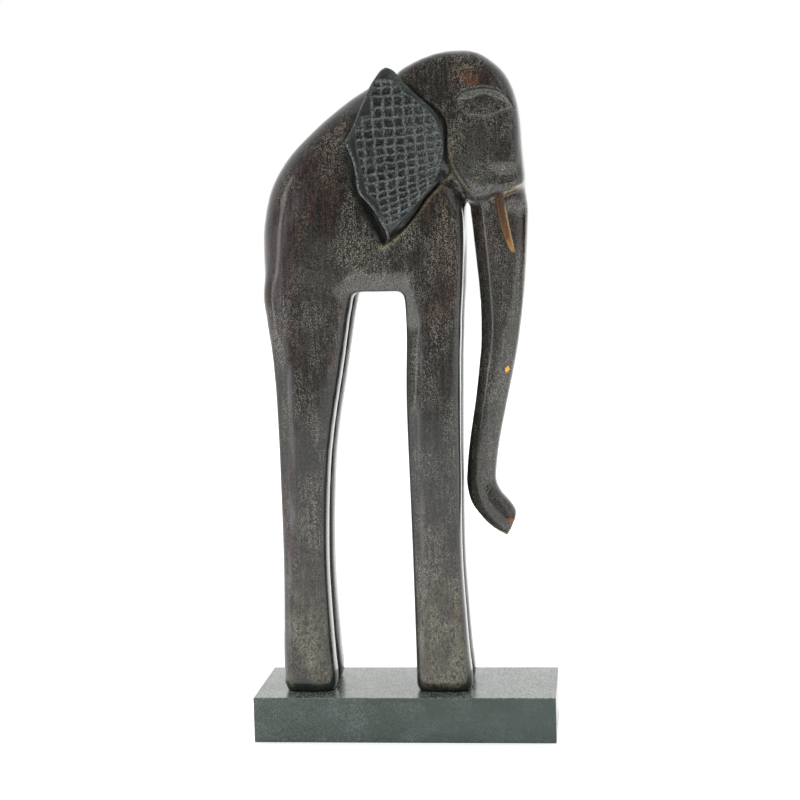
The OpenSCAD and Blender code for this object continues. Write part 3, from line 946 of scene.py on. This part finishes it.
# Dry dark wood, paler and dusty on the ridges between the pits, with a painted highlight along the rear rim
# and painted shade in the pits.
def earMaterial(p, *pieces):
    m = Shader("ear_wood_dry")
    specks = m.noise(1200, (1, 1, 0.9), 1.5, 0.75)
    fine = m.noise(800, detail=2, roughness=0.7)
    clouds = m.noise(70, detail=3)
    base = m.mix(m.times(m.attribute("field"), m.band(fine, 0.3, 0.6)), p["plain"], p["field"])
    # paler where the ridges carry dust, and a painted highlight along the rear rim
    dusty = m.math("MAXIMUM", m.times(m.attribute("field"), 0.75), m.times(m.attribute("wearAndHighlight"), 0.95))
    dusty = m.math("MAXIMUM", dusty, m.band(clouds, 0.4, 0.7, 0.35))
    base = m.mix(m.times(m.band(specks, 0.44, 0.6), dusty), base, p["dust"])
    # painted shade: darker in the pits
    base = m.mix(m.times(m.attribute("pit"), m.band(specks, 0.72, 0.5)), base, p["pit"])
    m.feed(m.surface, "Base Color", base)
    m.feed(m.surface, "Roughness", m.math("ADD", m.band(specks, 0.3, 0.7, 0.3), 0.42))
    m.feed(m.surface, "Normal", m.bump(specks, 0.00015, 0.6))
    return m.finish(*pieces)


tuskWood = {"honey": (0.17, 0.067, 0.015), "pale": (0.4, 0.21, 0.06), "dark": (0.06, 0.025, 0.011),
            "wearAndHighlight": (0.42, 0.29, 0.14)}


# Honey wood, darker at the root and paler at the tip, with fine lengthwise grain.
def tuskMaterial(p, *pieces):
    m = Shader("tusk_wood_honey")
    streaks = m.noise(650, (1, 1, 0.1), 4)
    specks = m.noise(1100, detail=1.5)
    height = m.along("Z")
    base = m.mix(m.band(height, 0.292, 0.272), p["dark"], p["honey"])
    base = m.mix(m.band(height, 0.275, 0.264, 0.85), base, p["pale"])
    base = m.mix(m.band(streaks, 0.46, 0.62, 0.75), base, p["dark"])
    base = m.mix(m.band(specks, 0.58, 0.7, 0.45), base, p["pale"])
    base = m.mix(m.times(m.attribute("arris"), m.band(specks, 0.3, 0.5)), base, p["wearAndHighlight"])
    m.feed(m.surface, "Base Color", base)
    m.feed(m.surface, "Roughness", m.math("ADD", m.band(streaks, 0.3, 0.7, 0.2), 0.32))
    m.feed(m.surface, "Normal", m.bump(m.math("ADD", streaks, specks), 0.00012, 0.45))
    return m.finish(*pieces)


plinthPaint = {
    "slate": (0.041, 0.067, 0.055),
    "deep": (0.027, 0.046, 0.036),
    "dust": (0.24, 0.275, 0.255),
    "settled": (0.5, 0.51, 0.45),
}


# Satin grey-green paint with cloudy depth and a scatter of fine dust, thicker towards the hind end.
def paintMaterial(p, *pieces):
    m = Shader("plinth_paint_satin")
    clouds = m.noise(24, (1, 1, 2), 3, 0.55)
    patches = m.noise(55, (1, 1, 1.5), 3, 0.6)
    specks = m.noise(1900, detail=0.5, roughness=0.8)
    rare = m.noise(1100, detail=1, roughness=0.6)
    base = m.mix(m.band(clouds, 0.35, 0.65), p["deep"], p["slate"])
    dusty = m.math("ADD", m.band(patches, 0.42, 0.7, 0.26), m.band(m.along("X"), 0.05, -0.06, 0.2))
    base = m.mix(m.times(m.band(specks, 0.46, 0.6), m.math("ADD", dusty, 0.06)), base, p["dust"])
    drift = m.noise(1500, (1, 0.25, 1), 1, 0.7)
    onTop = m.band(m.along("Z"), 0.0243, 0.0248)
    base = m.mix(m.times(m.band(drift, 0.42, 0.62, 0.34), onTop), base, p["settled"])
    base = m.mix(m.band(rare, 0.71, 0.77, 0.8), base, p["dust"])
    m.feed(m.surface, "Base Color", base)
    m.feed(m.surface, "Roughness", m.math("ADD", m.band(patches, 0.3, 0.7, 0.12), 0.2))
    m.surface.inputs["Specular IOR Level"].default_value = 0.32
    m.surface.inputs["Coat Weight"].default_value = 0.4
    m.surface.inputs["Coat Roughness"].default_value = 0.1
    m.feed(m.surface, "Normal", m.bump(specks, 0.00008, 0.35))
    return m.finish(*pieces)


screwZinc = {"light": (0.55, 0.56, 0.57), "dull": (0.33, 0.34, 0.35)}


# Bright zinc, dulled in patches.
def zincMaterial(p):
    m = Shader("screw_zinc")
    patches = m.noise(1800, (1, 1, 0.3), 3)
    m.feed(m.surface, "Base Color", m.mix(m.band(patches, 0.3, 0.7), p["dull"], p["light"]))
    m.surface.inputs["Metallic"].default_value = 1.0
    m.feed(m.surface, "Roughness", m.math("ADD", m.band(patches, 0.3, 0.7, 0.2), 0.3))
    return m.material


pegWood = {"light": (0.6, 0.42, 0.24), "dark": (0.42, 0.27, 0.14)}


# Bare pale dowel with grain along its length.
def dowelMaterial(p):
    m = Shader("dowel_wood_bare")
    grain = m.noise(900, (1, 0.08, 1), 4)
    m.feed(m.surface, "Base Color", m.mix(m.band(grain, 0.3, 0.7), p["light"], p["dark"]))
    m.feed(m.surface, "Roughness", m.math("ADD", m.band(grain, 0.3, 0.7, 0.2), 0.55))
    m.feed(m.surface, "Normal", m.bump(grain, 0.0001, 0.4))
    return m.material


woodMaterial(stainedWood, blank)
earMaterial(earWood, earRight, earLeft)
tuskMaterial(tuskWood, tuskRight, tuskLeft)
paintMaterial(plinthPaint, plinthBlock)
for prefix, finish in (("foot_screw", zincMaterial(screwZinc)), ("ear_peg", dowelMaterial(pegWood))):
    for nodeName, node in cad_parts.items():
        if nodeName.startswith(prefix):
            node.data.materials.clear()
            node.data.materials.append(finish)
plinthBlock.data.polygons.foreach_set("use_smooth", np.zeros(len(plinthBlock.data.polygons), bool))
print("materials set")


studio = {
    "floorX": 4.0,
    "floorFront": -1.3,
    "floorBack": 5.0,
    "floorGlow": 0.45,
    "behind": 1.3,
    "camera": 0.12,
    "overhead": 0.4,
    "below": 0.2,
    "softboxes": [
        # place, aim, width, height, power
        ((-1.25, -1.15, 0.55), (0, 0, 0.22), 0.3, 1.3, 3.6),
        ((1.3, -0.9, 0.9), (0, 0, 0.2), 0.5, 0.8, 1.0),
        ((-0.2, -0.7, 1.7), (0, 0, 0.15), 1.0, 1.0, 1.4),
    ],
}


# A white floor, and a sky of even light: dim behind the camera, bright behind the object, brightest
# overhead.
def makeStudio(p):
    half, front, rear = p["floorX"], p["floorFront"], p["floorBack"]
    mesh = bpy.data.meshes.new("floor")
    corners = [(-half, front, 0), (half, front, 0), (half, rear, 0), (-half, rear, 0)]
    mesh.from_pydata(corners, [], [(0, 1, 2, 3)])
    floor = placed("floor", mesh)
    m = Shader("floor_white")
    m.feed(m.surface, "Base Color", (0.93, 0.93, 0.925, 1))
    m.feed(m.surface, "Roughness", 0.7)
    m.feed(m.surface, "Emission Color", (1, 1, 1, 1))
    m.feed(m.surface, "Emission Strength", p["floorGlow"])
    mesh.materials.append(m.material)

    world = bpy.data.worlds.new("studio")
    bpy.context.scene.world = world
    world.use_nodes = True
    tree = world.node_tree
    tree.nodes.clear()

    def add(kind, inputs, **settings):
        node = tree.nodes.new(kind)
        for key, value in settings.items():
            setattr(node, key, value)
        for key, value in inputs.items():
            if isinstance(value, bpy.types.NodeSocket):
                tree.links.new(value, node.inputs[key])
            else:
                node.inputs[key].default_value = value
        return node.outputs

    split = add("ShaderNodeSeparateXYZ", {0: add("ShaderNodeTexCoord", {})["Generated"]})

    # brightness that goes smoothly from dark to light as the ray's direction goes from low to high
    def glow(axis, low, high, dark, light):
        inputs = {"Value": split[axis], "From Min": low, "From Max": high, "To Min": dark, "To Max": light}
        return add("ShaderNodeMapRange", inputs, interpolation_type="SMOOTHSTEP")[0]

    ahead = glow("Y", -0.75, 0.25, p["camera"], p["behind"])
    overhead = glow("Z", 0.35, 0.9, 0.0, p["overhead"])
    below = glow("Z", -0.01, -0.2, 0.0, p["below"])
    total = add("ShaderNodeMath", {0: ahead, 1: overhead}, operation="ADD")[0]
    total = add("ShaderNodeMath", {0: total, 1: below}, operation="ADD")[0]
    seen = add("ShaderNodeMix", {0: add("ShaderNodeLightPath", {})["Is Camera Ray"], 2: total, 3: 1.0})[0]
    sky = add("ShaderNodeBackground", {"Color": (1, 1, 1, 1), "Strength": seen})[0]
    add("ShaderNodeOutputWorld", {0: sky})

    for number, (place, aim, width, height, power) in enumerate(p["softboxes"]):
        light = bpy.data.lights.new(f"softbox{number}", "AREA")
        light.shape = "RECTANGLE"
        light.size, light.size_y = width, height
        light.energy = power
        lamp = placed(light.name, light)
        lamp.location = place
        lamp.rotation_euler = (Vector(aim) - Vector(place)).to_track_quat("-Z", "Y").to_euler()


# angles in degrees, places in metres, lens in millimetres
view = {
    "azimuth": 6.31,
    "elevation": 5.85,
    "roll": -1.6,
    "distance": 1.0,
    "aim": (-0.0009, 0, 0.1839),
    "lens": 81.63,
}


# Stands off the aim point along the azimuth and elevation, then rolls about its own line of sight.
def makeCamera(p):
    a, e, r = (math.radians(p[key]) for key in ("azimuth", "elevation", "roll"))
    back = Vector((math.sin(a) * math.cos(e), -math.cos(a) * math.cos(e), math.sin(e)))
    right = (-back).cross(Vector((0, 0, 1))).normalized()
    up = right.cross(-back)
    rolledRight = right * math.cos(r) + up * math.sin(r)
    rolledUp = up * math.cos(r) - right * math.sin(r)
    camera = bpy.data.cameras.new("camera")
    camera.sensor_width = 36
    camera.lens = p["lens"]
    holder = placed("camera", camera)
    turn = Matrix((rolledRight, rolledUp, back)).transposed().to_4x4()
    holder.matrix_world = Matrix.Translation(Vector(p["aim"]) + back * p["distance"]) @ turn
    bpy.context.scene.camera = holder


makeStudio(studio)
makeCamera(view)
bpy.context.scene.view_settings.view_transform = "Standard"
print("studio set")
